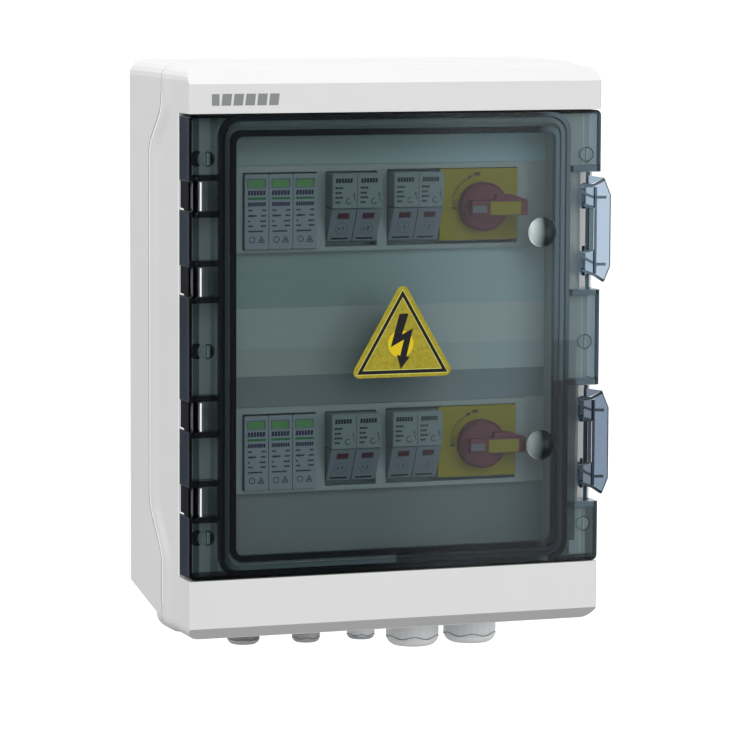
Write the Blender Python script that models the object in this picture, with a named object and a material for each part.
"""DC combiner box: a wall-mounted enclosure with a smoked, side-hinged door over two rows of DIN-rail devices.

Metres, +Z up. The origin is on the wall plane, on the centre line, level with the middle of the cover.
+X is to the right of someone facing the box, and the cover's front lies at -Y.
"""

import math

import bmesh
import bpy
from mathutils import Matrix, Vector

# Enclosure
WIDTH = 0.300                # cover, side to side
DEPTH = 0.138                # wall to cover front
COVER_TOP = 0.1962
COVER_BOTTOM = -0.194
CORNER_R = 0.009             # outline corners seen from the front
RIM_PROUD = 0.0015           # how far the rim at the parting line stands out of the cover's sides
WALL = 0.003
GAP = 0.0003                 # clearance between pieces that touch
SEAM_GAP = 0.0009            # open line between base and cover
BEVEL_D = 0.010              # long bevels along the cover's top and bottom front edges
FRONT = -DEPTH
HALF_W = WIDTH / 2

# Parting line between base and cover: further forward near the top and bottom
SEAM_END_Y = -0.0775
SEAM_MID_Y = -0.0475
SEAM_TOP_Z = (0.135, 0.172)
SEAM_LOW_Z = (-0.105, -0.148)
SEAM_STEPS = 6

# Door and the recess that it closes
DOOR_TOP = 0.1648
DOOR_BOTTOM = -0.1519
DOOR_MID = (DOOR_TOP + DOOR_BOTTOM) / 2
DOOR_HALF_H = (DOOR_TOP - DOOR_BOTTOM) / 2
DOOR_T = 0.0025
SKIRT_D = 0.0227             # depth of the door's skirt
DECK_D = 0.0236              # recess floor round the opening, below the cover front
FRAME_D = 0.010              # top of the raised frame on the latch side
FRAME_EDGE_X = 0.1449
CATCH_X = 0.1376             # side face that the latch hooks stand against
RIM_OUT = (0.1245, 0.1535)   # half sizes of the sealing rim round the opening
RIM_IN = (0.1205, 0.1495)
RIM_D = 0.006
FLOOR_D = 0.030              # inner front plate, with the device windows
FLOOR_T = 0.0025
BEZEL_D = 0.0247             # front of the raised surrounds of the device windows
BEZEL_X = (-0.1110, 0.1050)
BEZEL_Z = (-0.0292, 0.0302)  # above and below the middle of each row

# Hinges on the left and latches on the right
HINGE_X = -0.145
HINGE_D = 0.0032
HINGE_PIN_R = 0.0022
HINGE_ZONE_H = 0.0205
HINGE_Z = (0.1097, 0.0518, -0.0399, -0.0982)
HINGE_NOTCH_X = -0.1415
CHEEK_T = 0.0042
LATCH_X = 0.1419
LATCH_D = 0.0030
LATCH_BAR_R = 0.0021
LATCH_Z = (0.0806, -0.0687)
NOTCH_X = 0.1343
NOTCH_HALF_H = 0.0412

# Device rows
ROW_Z = (0.0979, -0.0681)
MODULE = 0.0174
RAIL_Y = -0.053              # front of the rail's flanges
DEVICE_BACK_Y = RAIL_Y - GAP
BODY_D = 0.040               # shoulders of every device, below the cover front
NOSE_D = 0.0334              # front of the SPD and fuse bases
SPD_X = -0.0777
SPD_D = 0.022
SPD_Z = (-0.0267, 0.0247)    # foot and top of the cartridges' faces, from the middle of the row
FUSE_X = (-0.0258, 0.0191)
FUSE_PITCH = 0.0183
FUSE_PIVOT_D = 0.0325
FUSE_PIVOT_V = -0.0224
ISOLATOR_X = 0.0674
PLATE_HALF_W = 0.0290
KNOB_X = 0.0687
KNOB_R = 0.0170

# Cable glands: (x, nut radius, z of the nut's lower end, bore radius)
GLAND_Y = -0.043
PAD_Z = -0.187
GLANDS = (
    (-0.0808, 0.0115, -0.2144, 0.0040),
    (-0.0340, 0.0100, -0.2156, 0.0034),
    (0.0074, 0.0100, -0.2156, 0.0034),
    (0.0468, 0.0190, -0.2221, 0.0090),
    (0.0909, 0.0190, -0.2221, 0.0090),
)

SCREW_Z = (0.1335, 0.0022, -0.1265)
SCREW_LEFT_X = -0.1303
SCREW_RIGHT_X = 0.1420
SCREW_R = 0.0046
SIGN_SIDE = 0.0776

COLOURS = {
    "grey_shell": ((0.74, 0.75, 0.74), 0.42, 0.0),
    "smoked": ((0.10, 0.13, 0.15), 0.12, 0.0),
    "latch_clear": ((0.42, 0.48, 0.53), 0.12, 0.0),
    "rubber": ((0.28, 0.29, 0.29), 0.85, 0.0),
    "device_grey": ((0.62, 0.63, 0.63), 0.45, 0.0),
    "device_light": ((0.72, 0.73, 0.72), 0.45, 0.0),
    "yellow": ((0.85, 0.72, 0.05), 0.40, 0.0),
    "red": ((0.62, 0.06, 0.08), 0.38, 0.0),
    "zinc": ((0.66, 0.67, 0.68), 0.35, 1.0),
    "brass": ((0.72, 0.56, 0.28), 0.35, 1.0),
    "gland_grey": ((0.66, 0.68, 0.69), 0.45, 0.0),
    "sign_yellow": ((0.88, 0.76, 0.06), 0.30, 0.0),
}


def material(name):
    found = bpy.data.materials.get(name)
    if found:
        return found
    colour, roughness, metallic = COLOURS[name]
    made = bpy.data.materials.new(name)
    made.use_nodes = True
    shader = made.node_tree.nodes["Principled BSDF"]
    shader.inputs["Base Color"].default_value = (*colour, 1.0)
    shader.inputs["Roughness"].default_value = roughness
    shader.inputs["Metallic"].default_value = metallic
    return made


def at(depth):
    """Y of a point that lies this far behind the cover's front face."""
    return FRONT + depth


def blended(value, low, high):
    """0 at low, 1 at high, with a smooth S between them."""
    t = min(max((value - low) / (high - low), 0.0), 1.0)
    return t * t * (3 - 2 * t)


def seam_y(z):
    """Y of the parting line at this height."""
    top = blended(z, *SEAM_TOP_Z)
    low = blended(-z, -SEAM_LOW_Z[0], -SEAM_LOW_Z[1])
    return SEAM_MID_Y + (SEAM_END_Y - SEAM_MID_Y) * max(top, low)


def seam_heights():
    """Heights at which the parting line bends, from the bottom to the top."""
    steps = [step / SEAM_STEPS for step in range(SEAM_STEPS + 1)]
    low = [SEAM_LOW_Z[1] + (SEAM_LOW_Z[0] - SEAM_LOW_Z[1]) * t for t in steps]
    top = [SEAM_TOP_Z[0] + (SEAM_TOP_Z[1] - SEAM_TOP_Z[0]) * t for t in steps]
    return low + top


# ---------------------------------------------------------------- mesh tools


def finish(bm, name, colour=None, smooth=None):
    """Turn a bmesh into an object. Without a colour it is a hidden cutting or joining tool."""
    bmesh.ops.recalc_face_normals(bm, faces=bm.faces[:])
    mesh = bpy.data.meshes.new(name)
    bm.to_mesh(mesh)
    bm.free()
    obj = bpy.data.objects.new(name, mesh)
    bpy.context.scene.collection.objects.link(obj)
    if colour:
        mesh.materials.append(material(colour))
    else:
        obj.hide_render = True
        obj.display_type = "WIRE"
    if smooth:
        mesh.shade_smooth()
        mesh.set_sharp_from_angle(angle=math.radians(smooth))
    return obj


def prism(points, low, high, axis):
    """A straight prism: points are (a, b) pairs across the axis, in X, Y, Z order without that axis."""
    def place(a, b, along):
        return {"X": (along, a, b), "Y": (a, along, b), "Z": (a, b, along)}[axis]

    bm = bmesh.new()
    rings = [[bm.verts.new(place(a, b, along)) for a, b in points] for along in (low, high)]
    count = len(points)
    bm.faces.new(rings[0])
    bm.faces.new(rings[1])
    for i in range(count):
        j = (i + 1) % count
        bm.faces.new((rings[0][i], rings[0][j], rings[1][j], rings[1][i]))
    return bm


def box(x, y, z):
    return prism([(x[0], y[0]), (x[1], y[0]), (x[1], y[1]), (x[0], y[1])], z[0], z[1], "Z")


def rounded(centre, half, radius, steps=5):
    """Outline of a rounded rectangle, anticlockwise."""
    points = []
    for sa, sb, start in ((1, 1, 0), (-1, 1, 90), (-1, -1, 180), (1, -1, 270)):
        ca = centre[0] + sa * (half[0] - radius)
        cb = centre[1] + sb * (half[1] - radius)
        for step in range(steps + 1):
            angle = math.radians(start + 90 * step / steps)
            points.append((ca + radius * math.cos(angle), cb + radius * math.sin(angle)))
    return points


def circle(centre, radius, steps=20):
    turn = 2 * math.pi / steps
    return [(centre[0] + radius * math.cos(turn * i), centre[1] + radius * math.sin(turn * i)) for i in range(steps)]


def lathe(profile, steps=24):
    """Turn (radius, height) points about Z. A radius of 0 closes the shape on the axis."""
    bm = bmesh.new()
    rings = []
    for radius, height in profile:
        if radius == 0:
            rings.append([bm.verts.new((0, 0, height))])
        else:
            rings.append([bm.verts.new((x, y, height)) for x, y in circle((0, 0), radius, steps)])
    closed = profile[0][0] != 0
    pairs = list(zip(rings, rings[1:] + rings[:1])) if closed else list(zip(rings, rings[1:]))
    for lower, upper in pairs:
        for i in range(steps):
            j = (i + 1) % steps
            corners = [lower[i % len(lower)], lower[j % len(lower)], upper[j % len(upper)], upper[i % len(upper)]]
            unique = list(dict.fromkeys(corners))
            if len(unique) > 2:
                bm.faces.new(unique)
    return bm


def ring_prism(outer, inner, low, high, axis="Y"):
    """A frame between two outlines that have the same number of points."""
    bm = bmesh.new()
    place = {"Y": lambda a, b, h: (a, h, b), "Z": lambda a, b, h: (a, b, h)}[axis]
    loops = [[bm.verts.new(place(a, b, h)) for a, b in pts] for pts, h in
             ((outer, low), (inner, low), (inner, high), (outer, high))]
    count = len(outer)
    for lower, upper in zip(loops, loops[1:] + loops[:1]):
        for i in range(count):
            j = (i + 1) % count
            bm.faces.new((lower[i], lower[j], upper[j], upper[i]))
    return bm


def several(meshes):
    """Put separate solids into one bmesh, for use as one tool."""
    bm = bmesh.new()
    for part in meshes:
        mesh = bpy.data.meshes.new("scratch")
        bmesh.ops.recalc_face_normals(part, faces=part.faces[:])
        part.to_mesh(mesh)
        part.free()
        bm.from_mesh(mesh)
        bpy.data.meshes.remove(mesh)
    return bm


def moved(bm, offset=(0, 0, 0), turn=None):
    if turn:
        bmesh.ops.transform(bm, matrix=turn, verts=bm.verts[:])
    bmesh.ops.translate(bm, vec=Vector(offset), verts=bm.verts[:])
    return bm


def combine(target, bm, operation, label):
    """Cut a tool from the target, or join it on, with a Boolean that stays live."""
    tool = finish(bm, f"tool_{target.name}_{label}")
    step = target.modifiers.new(label, "BOOLEAN")
    step.operation = operation
    step.object = tool
    step.solver = "EXACT"
    return tool


def cut(target, bm, label):
    combine(target, bm, "DIFFERENCE", label)


def join(target, bm, label):
    combine(target, bm, "UNION", label)


def pivot_at(obj, point):
    """Put the object's origin on its joint axis without moving its shape."""
    offset = Vector(point)
    obj.data.transform(Matrix.Translation(-offset))
    obj.location = offset


# ---------------------------------------------------------------- enclosure


def outline_points():
    """(x, z, nx, nz) round the cover's sides, with stations where the parting line bends."""
    radius = CORNER_R
    top, low = COVER_TOP - radius, COVER_BOTTOM + radius
    side = HALF_W - radius
    points = []

    def corner(cx, cz, start):
        for step in range(6):
            angle = math.radians(start + 90 * step / 5)
            nx, nz = math.cos(angle), math.sin(angle)
            points.append((cx + radius * nx, cz + radius * nz, nx, nz))

    heights = seam_heights()
    corner(side, top, 0)
    corner(-side, top, 90)
    points.extend((-HALF_W, z, -1.0, 0.0) for z in reversed(heights))
    corner(-side, low, 180)
    corner(side, low, 270)
    points.extend((HALF_W, z, 1.0, 0.0) for z in heights)
    return points


def skinned(rings):
    """A closed skin over rings; each is (offset outwards, function from z to y)."""
    bm = bmesh.new()
    outline = outline_points()
    loops = [
        [bm.verts.new((x + nx * out, depth(z), z + nz * out)) for x, z, nx, nz in outline]
        for out, depth in rings
    ]
    count = len(outline)
    bm.faces.new(loops[0])
    bm.faces.new(loops[-1])
    for lower, upper in zip(loops, loops[1:]):
        for i in range(count):
            j = (i + 1) % count
            bm.faces.new((lower[i], lower[j], upper[j], upper[i]))
    return bm


def seam_cutter(shift, far_y):
    """Everything between the parting line, shifted along Y, and far_y."""
    heights = [COVER_BOTTOM - 0.02] + seam_heights() + [COVER_TOP + 0.02]
    points = [(seam_y(z) + shift, z) for z in heights]
    points += [(far_y, heights[-1]), (far_y, heights[0])]
    return prism(points, -0.17, 0.17, "X")


def make_base():
    base = finish(skinned([
        (RIM_PROUD, lambda z: -0.100),
        (RIM_PROUD, lambda z: -0.0015),
        (0.0, lambda z: 0.0),
    ]), "base", "grey_shell", 40)
    cut(base, seam_cutter(SEAM_GAP / 2, -0.15), "parting_line")
    slope = [(0.01, -0.1689), (-0.065, -0.1845), (-0.0656, -0.1905), (-0.069, -0.1950),
             (-0.069, -0.21), (0.01, -0.21)]
    cut(base, prism(slope, -0.17, 0.17, "X"), "sloped_bottom")
    join(base, box((-0.106, 0.119), (-0.0672, -0.020), (PAD_Z, -0.1745)), "gland_pad")
    cavity = [(-WALL, -0.1674), (-0.0715, -0.1818), (-0.0725, -0.1912), (-0.12, -0.1912), (-0.12, COVER_TOP - WALL),
              (-WALL, COVER_TOP - WALL)]
    cut(base, prism(cavity, -0.1485, 0.1485, "X"), "cavity")
    cut(base, box((-0.102, 0.115), (-0.0640, -0.0240), (PAD_Z + 0.0035, -0.165)), "pad_inside")
    posts = [box((x - 0.006, x + 0.006), (-0.0452, -0.0010), (z - 0.006, z + 0.006))
             for x in (-0.095, 0.095) for z in ROW_Z]
    posts += [box((x - 0.004, x + 0.004), (-0.0197, -0.0010), (-0.154, -0.146)) for x in (-0.060, 0.060)]
    towers = [prism(circle((x, z), 0.0048, 12), -0.0445, -0.0010, "Y")
              for x in (SCREW_LEFT_X, SCREW_RIGHT_X) for z in SCREW_Z]
    join(base, several(posts + towers), "rail_posts")
    bores = [prism(circle((x, z), 0.0028, 12), -0.050, -0.020, "Y")
             for x in (SCREW_LEFT_X, SCREW_RIGHT_X) for z in SCREW_Z]
    cut(base, several(bores), "screw_bores")
    holes = [moved(prism(circle((0, 0), nut_r * 0.70 + GAP, 20), -0.192, -0.170, "Z"), (x, GLAND_Y, 0))
             for x, nut_r, _, _ in GLANDS]
    cut(base, several(holes), "gland_holes")
    return base


def make_cover():
    cover = finish(skinned([
        (-0.0012, lambda z: FRONT),
        (-0.0003, lambda z: FRONT + 0.0004),
        (0.0, lambda z: FRONT + 0.0014),
        (0.0, lambda z: seam_y(z) - 0.022),
        (0.0004, lambda z: seam_y(z) - 0.0175),
        (RIM_PROUD - 0.0004, lambda z: seam_y(z) - 0.0125),
        (RIM_PROUD, lambda z: seam_y(z) - 0.0085),
        (RIM_PROUD, lambda z: -0.030),
    ]), "cover", "grey_shell", 40)
    cut(cover, seam_cutter(-SEAM_GAP / 2, -0.01), "parting_line")
    top = [(at(-0.002), 0.1835), (at(BEVEL_D), 0.1937), (at(0.040), 0.1962), (at(0.052), 0.1979),
           (at(0.052), 0.215), (at(-0.002), 0.215)]
    low = [(at(-0.002), -0.1836), (at(BEVEL_D), -0.1938), (at(BEVEL_D), -0.21), (at(-0.002), -0.21)]
    cut(cover, several([prism(top, -0.17, 0.17, "X"), prism(low, -0.17, 0.17, "X")]), "front_bevels")
    cut(cover, box((-0.16, 0.16), (at(-0.001), at(DECK_D)), (DOOR_BOTTOM - 0.0005, DOOR_TOP + 0.0005)),
        "door_recess")
    centre = (0.0, DOOR_MID)
    join(cover, prism(rounded(centre, RIM_OUT, 0.012), at(RIM_D), at(FLOOR_D + FLOOR_T + 0.001), "Y"), "rim")
    join(cover, several(latch_side_frame()), "latch_frame")
    cut(cover, prism(rounded(centre, RIM_IN, 0.008), at(-0.001), at(FLOOR_D), "Y"), "opening")
    rear = [(at(FLOOR_D + FLOOR_T), -0.1875), (at(0.046), -0.1875), (at(0.050), -0.1908), (-0.01, -0.1908),
            (-0.01, 0.1932), (at(0.050), 0.1932), (at(0.046), 0.1908), (at(FLOOR_D + FLOOR_T), 0.1908)]
    cut(cover, prism(rear, -0.1465, 0.1465, "X"), "rear_cavity")
    bars = [box((-0.1465, 0.1465), (at(0.013), at(0.034)), (0.1683, 0.1885)),
            box((-0.1465, 0.1465), (at(0.013), at(0.034)), (-0.187, -0.1554))]
    cut(cover, several(bars), "bar_cavities")
    fronts = [box((-0.1465, 0.1465), (at(0.003), at(0.0135)), (0.1683, 0.182)),
              box((-0.1465, 0.1465), (at(0.003), at(0.0135)), (-0.181, -0.1554))]
    cut(cover, several(fronts), "bar_fronts")
    columns = [box((0.1272, 0.1440), (at(DECK_D + WALL), at(0.034)), (-0.150, 0.163)),
               box((-0.1465, -0.1272), (at(DECK_D + WALL), at(0.034)), (-0.150, 0.163))]
    cut(cover, several(columns), "column_cavities")
    surrounds = [box(BEZEL_X, (at(BEZEL_D), at(FLOOR_D + 0.001)), (z + BEZEL_Z[0], z + BEZEL_Z[1])) for z in ROW_Z]
    join(cover, several(surrounds), "window_surrounds")
    cut(cover, several(windows()), "device_windows")
    seats, shanks = screw_holes()
    cut(cover, several(seats), "screw_seats")
    cut(cover, several(shanks), "screw_holes")
    lugs = [box((-0.1476, -0.1417), (at(0.0058), at(DECK_D + 0.001)), (z - 0.0075, z + 0.0075)) for z in HINGE_Z]
    join(cover, several(lugs), "hinge_lugs")
    return cover


def latch_side_frame():
    """The raised frame beside the opening. It steps back where the latches hook, and has round screw bosses."""
    low, high = DOOR_BOTTOM + 0.0032, DOOR_TOP - 0.0032
    notches = sorted(LATCH_Z)
    spans = [(low, notches[0] - NOTCH_HALF_H - 0.0015),
             (notches[0] + NOTCH_HALF_H + 0.0015, notches[1] - NOTCH_HALF_H - 0.0015),
             (notches[1] + NOTCH_HALF_H + 0.0015, high)]
    edge = [(0.1236, low)]
    for start, end in spans:
        edge += [(FRAME_EDGE_X, start), (FRAME_EDGE_X, end)]
        if end != high:
            edge += [(CATCH_X, end), (CATCH_X, end + 2 * NOTCH_HALF_H + 0.003)]
    edge += [(0.1236, high)]
    return [prism(edge, at(FRAME_D), at(DECK_D + 0.001), "Y")]


def windows():
    """Openings in the inner front plate, three to a row."""
    made = []
    for z in ROW_Z:
        spans = ((SPD_X - 0.0267, SPD_X + 0.0265, z - 0.0271, z + 0.0258),
                 (FUSE_X[0] - 0.0188, FUSE_X[0] + 0.0188, z - 0.0261, z + 0.0258),
                 (FUSE_X[1] - 0.0188, ISOLATOR_X + PLATE_HALF_W + 0.0005, z - 0.0261, z + 0.0267))
        made += [box((a, b), (at(BEZEL_D - 0.002), at(FLOOR_D + 0.006)), (c, d)) for a, b, c, d in spans]
    return made


def screw_holes():
    """Seats for the heads on the hinge side, and holes for every shank."""
    seats, shanks = [], []
    for z in SCREW_Z:
        seats.append(prism(circle((SCREW_LEFT_X, z), SCREW_R + GAP), at(DECK_D - 0.001), at(DECK_D + 0.002), "Y"))
        shanks.append(prism(circle((SCREW_LEFT_X, z), 0.0030, 12), at(DECK_D - 0.002), at(0.040), "Y"))
        shanks.append(prism(circle((SCREW_RIGHT_X, z), 0.0027, 12), at(FRAME_D - 0.001), at(0.040), "Y"))
    return seats, shanks


def make_cover_seal():
    """Cord-like seal inside the walls, following the parting line."""
    bm = bmesh.new()
    outline = outline_points()
    corners = ((-0.0038, 0.0018), (-0.0051, 0.0018), (-0.0051, -0.0018), (-0.0038, -0.0018))
    loops = [[bm.verts.new((x + nx * out, seam_y(z) + dy, z + nz * out)) for x, z, nx, nz in outline]
             for out, dy in corners]
    count = len(outline)
    for lower, upper in zip(loops, loops[1:] + loops[:1]):
        for i in range(count):
            j = (i + 1) % count
            bm.faces.new((lower[i], lower[j], upper[j], upper[i]))
    return finish(bm, "cover_seal", "rubber")


def make_cover_screw(name, x, z, head_d):
    """Slotted quarter-turn screw. Its head lies flush with the face at head_d."""
    head = 0.0018
    tip = -0.030
    profile = [(0, tip), (0.0024, tip), (0.0024, at(head_d + head)), (SCREW_R, at(head_d + head)),
               (SCREW_R, at(head_d + 0.0004)), (SCREW_R - 0.0004, at(head_d)), (0, at(head_d))]
    turn = Matrix.Rotation(math.radians(-90), 4, "X")
    bm = moved(lathe([(r, y) for r, y in profile], 20), (x, 0, z), turn)
    screw = finish(bm, name, "device_light", 40)
    cut(screw, box((x - 0.0006, x + 0.0006), (at(head_d - 0.001), at(head_d + 0.0010)), (z - 0.006, z + 0.006)), "slot")
    return screw


# ---------------------------------------------------------------- door


def make_door():
    centre = (0.0, DOOR_MID)
    half = (HALF_W, DOOR_HALF_H)
    edge = 0.0009
    loops = [(edge, 0.0), (edge * 0.3, edge * 0.3), (0.0, edge), (0.0, SKIRT_D)]
    bm = bmesh.new()
    rings = [[bm.verts.new((a, at(depth), b)) for a, b in
              rounded(centre, (half[0] - inset, half[1] - inset), 0.004 - inset)] for inset, depth in loops]
    bm.faces.new(rings[0])
    bm.faces.new(rings[-1])
    for lower, upper in zip(rings, rings[1:]):
        for i in range(len(lower)):
            j = (i + 1) % len(lower)
            bm.faces.new((lower[i], lower[j], upper[j], upper[i]))
    door = finish(bm, "door", "smoked", 40)
    inner = (half[0] - DOOR_T, half[1] - DOOR_T)
    cut(door, prism(rounded(centre, inner, 0.002, 3), at(DOOR_T), at(SKIRT_D + 0.002), "Y"), "inside")
    outer_rib = ring_prism(rounded(centre, (0.1279, 0.1572), 0.0140), rounded(centre, (0.1250, 0.1540), 0.0120),
                           at(0.0010), at(0.0080))
    middle = (0.0004, DOOR_MID)
    inner_rib = ring_prism(rounded(middle, (0.1197, 0.1474), 0.0076), rounded(middle, (0.1164, 0.1430), 0.0050),
                           at(0.0010), at(0.0085))
    join(door, outer_rib, "outer_rib")
    join(door, inner_rib, "inner_rib")
    join(door, several(hinge_cheeks() + latch_cheeks()), "cheeks")
    notches = [box((-0.152, HINGE_NOTCH_X), (at(-0.001), at(0.024)), (z - HINGE_ZONE_H / 2, z + HINGE_ZONE_H / 2))
               for z in HINGE_Z]
    notches += [box((NOTCH_X, 0.152), (at(-0.001), at(0.024)), (z - NOTCH_HALF_H, z + NOTCH_HALF_H)) for z in LATCH_Z]
    cut(door, several(notches), "notches")
    sockets = [moved(prism(circle((0, 0), HINGE_PIN_R + GAP, 16), z - 0.0135, z + 0.0135, "Z"),
                     (HINGE_X, at(HINGE_D), 0)) for z in HINGE_Z]
    cut(door, several(sockets), "pin_sockets")
    bars = [moved(prism(circle((0, 0), LATCH_BAR_R, 12), z - NOTCH_HALF_H - 0.001, z + NOTCH_HALF_H + 0.001, "Z"),
                  (LATCH_X, at(LATCH_D), 0)) for z in LATCH_Z]
    join(door, several(bars), "latch_bars")
    domes = [lens((0.1060, z)) for z in (0.0803, -0.0685)]
    join(door, several(domes), "domes")
    pivot_at(door, (HINGE_X, at(HINGE_D), DOOR_MID))
    return door


def hinge_cheeks():
    """Plates across the door's left edge, above and below each hinge. They turn on the hinge pins."""
    made = []
    for z in HINGE_Z:
        for side in (-1, 1):
            near = z + side * HINGE_ZONE_H / 2
            far = near + side * CHEEK_T
            made.append(box((-0.1486, -0.1295), (at(0.0010), at(0.0140)), (min(near, far), max(near, far))))
    return made


def latch_cheeks():
    """Plates across the door's right edge, above and below each latch. They carry the latch bars."""
    made = []
    for z in LATCH_Z:
        for side in (-1, 1):
            near = z + side * NOTCH_HALF_H
            far = near + side * CHEEK_T
            made.append(box((0.1300, 0.1486), (at(0.0010), at(0.0092)), (min(near, far), max(near, far))))
    return made


def lens(place):
    """A shallow dome on the door's face."""
    radius, height = 0.0103, 0.0032
    sphere = (radius * radius + height * height) / (2 * height)
    steps = 5
    reach = math.asin(radius / sphere)
    profile = [(0, -0.0012), (radius, -0.0012)]
    profile += [(sphere * math.sin(reach * (1 - i / steps)), sphere * math.cos(reach * (1 - i / steps))
                 - sphere + height) for i in range(steps + 1)]
    turn = Matrix.Rotation(math.radians(90), 4, "X")
    return moved(lathe(profile, 24), (place[0], FRONT, place[1]), turn)


def make_door_seal():
    centre = (0.0, DOOR_MID)
    bm = ring_prism(rounded(centre, (0.1240, 0.1530), 0.0115), rounded(centre, (0.1210, 0.1500), 0.0085),
                    at(DOOR_T + GAP), at(RIM_D - GAP))
    return finish(bm, "door_seal", "rubber")


def make_warning_sign():
    """A thin triangular label on the door's face."""
    radius = 0.0042
    height = SIGN_SIDE * math.sqrt(3) / 2
    centre = (0.0029, -0.0172 + height / 3)
    points = []
    for corner in range(3):
        angle = math.radians(90 + 120 * corner)
        reach = height * 2 / 3 - 2 * radius
        cx = centre[0] + reach * math.cos(angle)
        cz = centre[1] + reach * math.sin(angle)
        for step in range(5):
            turn = angle + math.radians(-60 + 120 * step / 4)
            points.append((cx + radius * math.cos(turn), cz + radius * math.sin(turn)))
    return finish(prism(points, at(-0.0008), at(-GAP), "Y"), "warning_sign", "sign_yellow")


def make_hinge_clip(name, z):
    """Fixed half of a hinge: an outer wall, two arms and the pin that the door turns on."""
    half = HINGE_ZONE_H / 2 - 0.0004
    arm = 0.0018
    bm = box((-0.1496, -0.1481), (at(0.0034), at(DECK_D - GAP)), (z - half, z + half))
    clip = finish(bm, name, "smoked", 40)
    arms = [box((-0.1490, HINGE_X), (at(HINGE_D + 0.0004), at(HINGE_D + 0.0016)), (low, low + arm))
            for low in (z - half + 0.0001, z + half - arm - 0.0001)]
    join(clip, several(arms), "arms")
    pin = moved(prism(circle((0, 0), HINGE_PIN_R, 16), z - 0.0130, z + 0.0130, "Z"), (HINGE_X, at(HINGE_D), 0))
    join(clip, pin, "pin")
    return clip


def make_latch(name, z):
    """Snap latch: a flared finger tab on two arms that turn on the door's bar and hook behind the frame."""
    tab_x = 0.1463
    arm_low, arm_high = 0.0155, 0.0305
    tilt = math.radians(8)
    outline = [(0.0, -0.0305), (0.0064, -0.0358), (0.0108, -0.0250), (0.0108, 0.0250), (0.0064, 0.0358),
               (0.0, 0.0305)]
    bm = prism(outline, 0.0, 0.0016, "Y")
    turn = Matrix.Rotation(-tilt, 4, "Z")
    latch = finish(moved(bm, (tab_x - 0.0004, at(-0.0006), z), turn), name, "latch_clear", 40)
    for side in (-1, 1):
        low, high = sorted((z + side * arm_low, z + side * arm_high))
        profile = [(0.1360, at(-0.0004)), (tab_x, at(-0.0004)), (tab_x, at(0.0040)), (0.1452, at(0.0072)),
                   (0.1452, at(0.0200)), (0.1430, at(0.0212)), (0.1382, at(0.0200)), (0.1382, at(0.0184)),
                   (0.1420, at(0.0176)), (0.1420, at(0.0082)), (0.1390, at(0.0072)), (0.1360, at(0.0034))]
        join(latch, prism(profile, low, high, "Z"), f"arm_{side + 1}")
    hole = moved(prism(circle((0, 0), LATCH_BAR_R + 0.0003, 12), z - 0.032, z + 0.032, "Z"),
                 (LATCH_X, at(LATCH_D), 0))
    cut(latch, hole, "bar_hole")
    pivot_at(latch, (LATCH_X, at(LATCH_D), z))
    return latch


# ---------------------------------------------------------------- devices


def stepped_profile(row_z, nose_d, nose_half, shoulder=0.0425):
    """Side view of a rail device: a tall body with a shorter nose."""
    return [(DEVICE_BACK_Y, row_z - shoulder), (at(BODY_D), row_z - shoulder), (at(BODY_D), row_z - nose_half),
            (at(nose_d), row_z - nose_half), (at(nose_d), row_z + nose_half), (at(BODY_D), row_z + nose_half),
            (at(BODY_D), row_z + shoulder), (DEVICE_BACK_Y, row_z + shoulder)]


def make_din_rail(name, z):
    """Top-hat rail, 35 mm wide and 7.5 mm deep."""
    t = 0.0011
    half, lip = 0.0175, 0.0125
    web_y = RAIL_Y + 0.0075
    profile = [(RAIL_Y, -half), (RAIL_Y + t, -half), (RAIL_Y + t, -lip - t), (web_y, -lip - t), (web_y, lip + t),
               (RAIL_Y + t, lip + t), (RAIL_Y + t, half), (RAIL_Y, half), (RAIL_Y, lip), (web_y - t, lip),
               (web_y - t, -lip), (RAIL_Y, -lip)]
    return finish(prism([(y, z + dz) for y, dz in profile], -0.109, 0.109, "X"), name, "zinc")


def make_spd_base(name, z):
    """Three-pole socket for surge protection cartridges."""
    half = 1.5 * MODULE
    base = finish(prism(stepped_profile(z, NOSE_D, 0.0262), SPD_X - half, SPD_X + half, "X"), name,
                  "device_grey")
    sockets = [box((SPD_X + (i - 1) * MODULE - 0.0080, SPD_X + (i - 1) * MODULE + 0.0080),
                   (at(0.030), at(0.0610)), (z - 0.0226, z + 0.0226)) for i in range(3)]
    cut(base, several(sockets), "sockets")
    return base


def make_spd_plug(name, index, z):
    """Pluggable cartridge with a status window panel at its front."""
    x = SPD_X + (index - 1) * MODULE
    w = MODULE / 2 - 0.0002
    low, top = SPD_Z
    front = rounded((x, z + (low + top) / 2), (w, (top - low) / 2), 0.0008, 2)
    plug = finish(prism(front, at(SPD_D), at(NOSE_D - GAP), "Y"), name, "device_light")
    join(plug, box((x - 0.0077, x + 0.0077), (at(0.030), at(0.0600)), (z - 0.0222, z + 0.0222)), "contact_block")
    cut(plug, box((x - 0.0062, x + 0.0062), (at(SPD_D - 0.001), at(SPD_D + 0.0006)), (z + 0.0162, z + 0.0216)),
        "status_window")
    pivot_at(plug, (x, at(SPD_D), z))
    return plug


def make_fuse_base(name, x, z):
    """Two-pole fuse holder: a body with a well for each carrier, and a fixed label block above the wells."""
    half = FUSE_PITCH
    base = finish(prism(stepped_profile(z, NOSE_D, 0.0262), x - half, x + half, "X"), name, "device_grey")
    wells = [box((x + side * FUSE_PITCH / 2 - 0.0080, x + side * FUSE_PITCH / 2 + 0.0080),
                 (at(0.030), at(0.0450)), (z - 0.0212, z + 0.0010)) for side in (-1, 1)]
    cut(base, several(wells), "wells")
    block = prism(rounded((x, z + 0.0130), (half, 0.0119), 0.0008, 2), at(0.0120), at(NOSE_D + 0.001), "Y")
    join(base, block, "label_block")
    return base


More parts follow.
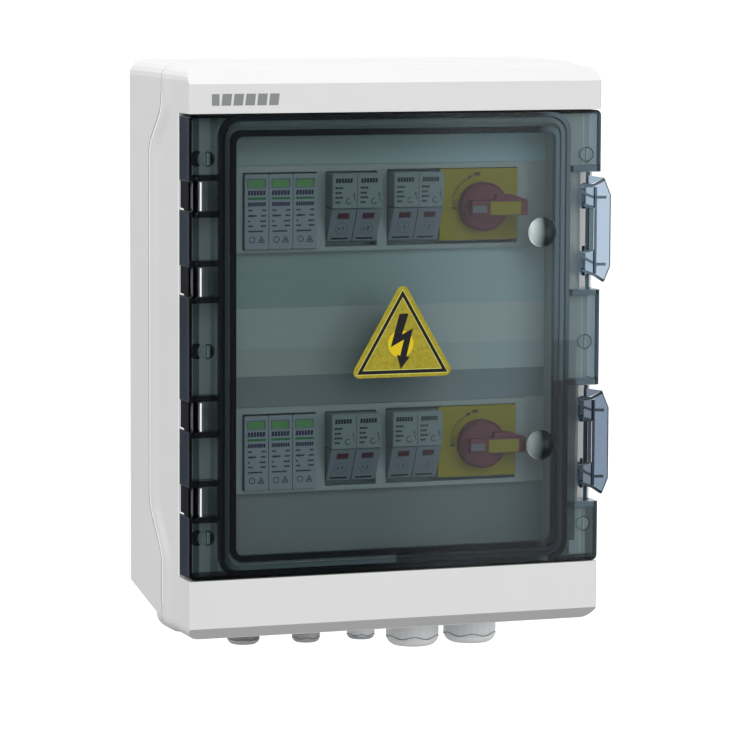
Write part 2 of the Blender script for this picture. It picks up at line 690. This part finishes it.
def make_fuse_carrier(name, x, z):
    """Tilting carrier. Its face is proud at the top and slants back to the pivot at its foot."""
    w = FUSE_PITCH / 2 - 0.0003
    face = [(at(0.0328), z - 0.0232), (at(0.0262), z - 0.0232), (at(0.0240), z - 0.0222), (at(0.0127), z + 0.0000),
            (at(0.0137), z + 0.0006), (at(0.0328), z + 0.0006)]
    carrier = finish(prism(face, x - w, x + w, "X"), name, "device_light")
    block = box((x - 0.0076, x + 0.0076), (at(0.030), at(0.0420)), (z - 0.0190, z - 0.0020))
    join(carrier, block, "fuse_block")
    slot = box((x - 0.0040, x + 0.0040), (at(0.008), at(0.0190)), (z - 0.0062, z - 0.0027))
    cut(carrier, slot, "indicator")
    pivot_at(carrier, (x, at(FUSE_PIVOT_D), z + FUSE_PIVOT_V))
    return carrier


def make_isolator_body(name, z):
    body = finish(prism(stepped_profile(z, 0.0250, 0.0240), ISOLATOR_X - 0.0288, ISOLATOR_X + 0.0288, "X"), name,
                  "device_grey")
    cut(body, prism(circle((KNOB_X, z), 0.0080), at(0.020), at(0.0330), "Y"), "shaft_hole")
    return body


def make_isolator_plate(name, z):
    outline = rounded((ISOLATOR_X, z + 0.0014), (PLATE_HALF_W, 0.0248), 0.0012, 3)
    plate = finish(prism(outline, at(0.0222), at(0.0246), "Y"), name, "yellow")
    cut(plate, prism(circle((KNOB_X, z), 0.0090), at(0.020), at(0.027), "Y"), "shaft_hole")
    return plate


def make_isolator_handle(name, z):
    """Round knob with a flat lever. Its shaft runs through the plate into the switch."""
    profile = [(0, at(0.0310)), (0.0060, at(0.0310)), (0.0060, at(0.0212)), (KNOB_R, at(0.0212)),
               (KNOB_R, at(0.0135)), (KNOB_R - 0.0015, at(0.0120)), (0, at(0.0120))]
    turn = Matrix.Rotation(math.radians(-90), 4, "X")
    bm = moved(lathe(profile, 28), (KNOB_X, 0, z), turn)
    handle = finish(bm, name, "red", 40)
    bar = [(-0.0125, -0.0052), (0.0286, -0.0058), (0.0286, 0.0046), (-0.0125, 0.0050)]
    flare = [(0.0060, -0.0040), (0.0286, -0.0040), (0.0286, 0.0051), (0.0183, 0.0086), (0.0060, 0.0086)]
    join(handle, prism([(KNOB_X + x, z + dz) for x, dz in bar], at(0.0055), at(0.0140), "Y"), "lever")
    join(handle, prism([(KNOB_X + x, z + dz) for x, dz in flare], at(0.0078), at(0.0136), "Y"), "lever_flare")
    pivot_at(handle, (KNOB_X, at(0.0212), z))
    return handle


# ---------------------------------------------------------------- bottom entries


def make_gland_body(name, x, nut_r, bore_r):
    """Threaded body: the shank goes up through the wall, a hex collar seats on the pad, a spigot takes the nut."""
    shank = nut_r * 0.70
    collar_z = PAD_Z - GAP
    profile = [(bore_r + 0.0008, collar_z - 0.0120), (shank - 0.0008, collar_z - 0.0120), (shank - 0.0008, collar_z - 0.004),
               (shank, collar_z - 0.004), (shank, PAD_Z + 0.0115), (bore_r + 0.0008, PAD_Z + 0.0115)]
    body = finish(moved(lathe(profile, 20), (x, GLAND_Y, 0)), name, "gland_grey", 40)
    hexagon = ring_prism(circle((0, 0), nut_r * 1.04, 6), circle((0, 0), shank - 0.0006, 6), collar_z - 0.0050,
                         collar_z, "Z")
    join(body, moved(hexagon, (x, GLAND_Y, 0)), "collar")
    return body


def make_gland_nut(name, x, nut_r, end_z, bore_r):
    """Domed clamping nut."""
    top = PAD_Z - GAP - 0.0054
    dome = nut_r * 0.42
    steps = 4
    outside = [(nut_r * (0.62 + 0.38 * math.sin(math.radians(90 * i / steps))),
                end_z + dome * (1 - math.cos(math.radians(90 * i / steps)))) for i in range(steps + 1)]
    shank = nut_r * 0.70
    profile = [(bore_r, end_z + 0.0006), *outside, (nut_r, top), (shank + 0.0002, top), (shank + 0.0002, top - 0.0085),
               (bore_r, top - 0.0085 - (shank - bore_r) * 0.5)]
    return finish(moved(lathe(profile, 24), (x, GLAND_Y, 0)), name, "gland_grey", 40)


def make_earth_bar():
    bar = finish(box((-0.070, 0.070), (-0.0270, -0.0200), (-0.1545, -0.1455)), "earth_bar", "brass")
    holes = [moved(prism(circle((0, 0), 0.0022, 10), -0.16, -0.14, "Z"), (-0.060 + 0.0133 * i, -0.0235, 0))
             for i in range(10)]
    cut(bar, several(holes), "wire_holes")
    return bar


def clear_scene():
    for obj in list(bpy.data.objects):
        bpy.data.objects.remove(obj)


def main():
    clear_scene()
    make_base()
    make_cover()
    make_cover_seal()
    make_door()
    make_door_seal()
    make_warning_sign()
    for i, z in enumerate(HINGE_Z):
        make_hinge_clip(f"hinge_clip_{i + 1}", z)
    for word, z in zip(("upper", "lower"), LATCH_Z):
        make_latch(f"latch_{word}", z)
    for word, z in zip(("top", "middle", "bottom"), SCREW_Z):
        make_cover_screw(f"cover_screw_left_{word}", SCREW_LEFT_X, z, DECK_D)
        make_cover_screw(f"cover_screw_right_{word}", SCREW_RIGHT_X, z, FRAME_D - 0.0021)
    for word, z in zip(("upper", "lower"), ROW_Z):
        make_din_rail(f"din_rail_{word}", z)
        make_spd_base(f"spd_base_{word}", z)
        for i in range(3):
            make_spd_plug(f"spd_plug_{word}_{i + 1}", i, z)
        for pair, x in enumerate(FUSE_X):
            make_fuse_base(f"fuse_base_{word}_{pair + 1}", x, z)
            for side in (-1, 1):
                number = 2 * pair + (side + 3) // 2
                make_fuse_carrier(f"fuse_carrier_{word}_{number}", x + side * FUSE_PITCH / 2, z)
        make_isolator_body(f"isolator_body_{word}", z)
        make_isolator_plate(f"isolator_plate_{word}", z)
        make_isolator_handle(f"isolator_handle_{word}", z)
    for i, (x, nut_r, end_z, bore_r) in enumerate(GLANDS):
        make_gland_body(f"gland_body_{i + 1}", x, nut_r, bore_r)
        make_gland_nut(f"gland_nut_{i + 1}", x, nut_r, end_z, bore_r)
    make_earth_bar()


main()
